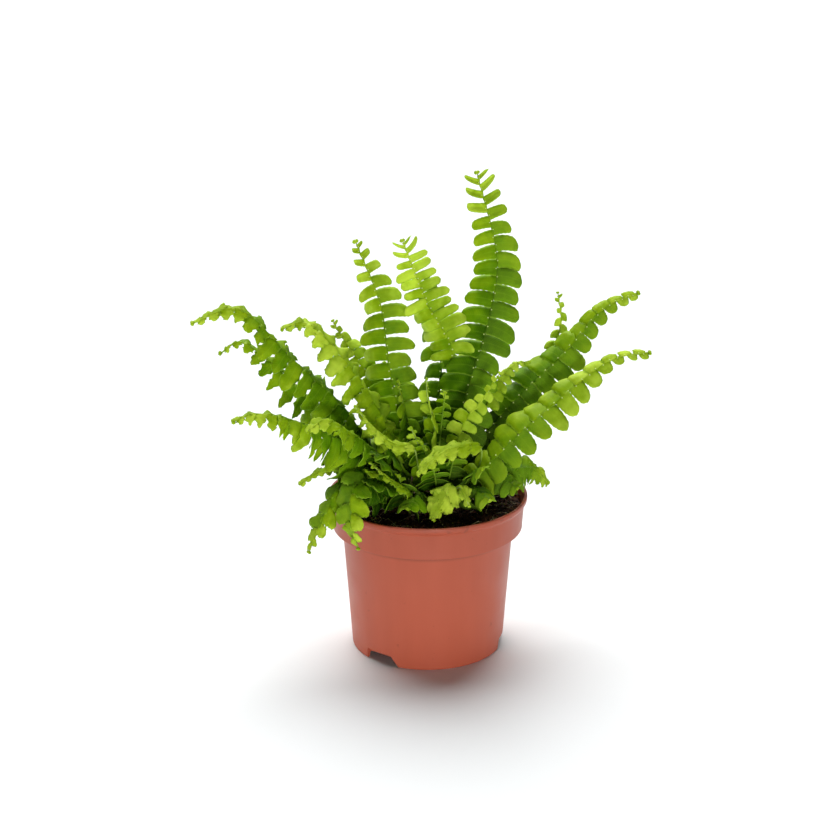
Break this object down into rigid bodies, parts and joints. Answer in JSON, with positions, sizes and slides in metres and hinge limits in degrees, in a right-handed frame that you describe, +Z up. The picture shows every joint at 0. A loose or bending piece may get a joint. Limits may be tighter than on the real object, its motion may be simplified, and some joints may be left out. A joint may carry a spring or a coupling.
{
  "type": "potted fern",
  "caption": "Young sword fern with arching feathered fronds growing from one crown in the peat of a round terracotta-coloured plastic nursery pot.",
  "frame": {"origin": "on the surface that the pot stands on, under the pot's axis", "axes": "+Z up along the pot's axis; -Y is the front seen in the picture and +X is to its right"},
  "size_m": [0.2662, 0.1382, 0.2831],
  "materials": {
    "pot_plastic": "satin moulded polypropylene, terracotta colour",
    "peat": "damp black peat, rough and matte",
    "leaf_dark": "grown leaf, dark green, satin",
    "leaf_green": "leaf, mid green, satin",
    "leaf_pale": "new leaf, yellow green, satin"
  },
  "bodies": {
    "root": {"pot": "pot_plastic", "soil": "peat", "frond_tall_centre": "leaf_dark", "frond_right_high": "leaf_dark", "frond_right_low": "leaf_green", "frond_left_high": "leaf_dark", "frond_left_middle": "leaf_dark", "frond_left_light": "leaf_green", "frond_upright_left": "leaf_green", "frond_left_low": "leaf_dark", "frond_light_upright": "leaf_pale", "frond_dark_upright": "leaf_dark", "frond_left_front": "leaf_dark", "frond_light_centre": "leaf_pale", "frond_drooping_left": "leaf_dark", "frond_drooping_front": "leaf_dark", "frond_bright_front": "leaf_pale", "frond_bright_low": "leaf_pale", "frond_bright_low_right": "leaf_pale", "frond_pale_young": "leaf_pale", "frond_right_over_rim": "leaf_green", "frond_dark_front_right": "leaf_dark", "frond_dark_low_left": "leaf_dark", "frond_low_front_left": "leaf_dark", "frond_low_front": "leaf_dark", "frond_dark_centre": "leaf_dark", "frond_low_right": "leaf_dark", "frond_small_centre": "leaf_green", "frond_round_centre": "leaf_green", "frond_curly_left": "leaf_green", "frond_thin_left": "leaf_green", "frond_right_small_upright": "leaf_pale", "frond_fine_right": "leaf_pale", "frond_left_small": "leaf_green", "frond_back_middle": "leaf_dark", "frond_back_right": "leaf_green", "frond_back_left": "leaf_green", "frond_back_far_right": "leaf_green", "frond_back_far_left": "leaf_green", "frond_back_upright_right": "leaf_green", "frond_back_upright_left": "leaf_green", "frond_back_low_right": "leaf_green", "frond_back_low_left": "leaf_green", "frond_crown_front_left": "leaf_dark", "frond_crown_front": "leaf_dark", "frond_crown_front_right": "leaf_dark", "frond_crown_left": "leaf_dark", "frond_crown_low_middle": "leaf_dark", "frond_crown_middle": "leaf_dark", "frond_crown_back_left": "leaf_dark", "frond_low_centre_left": "leaf_dark", "frond_low_far_right": "leaf_dark"}
  },
  "joints": []
}
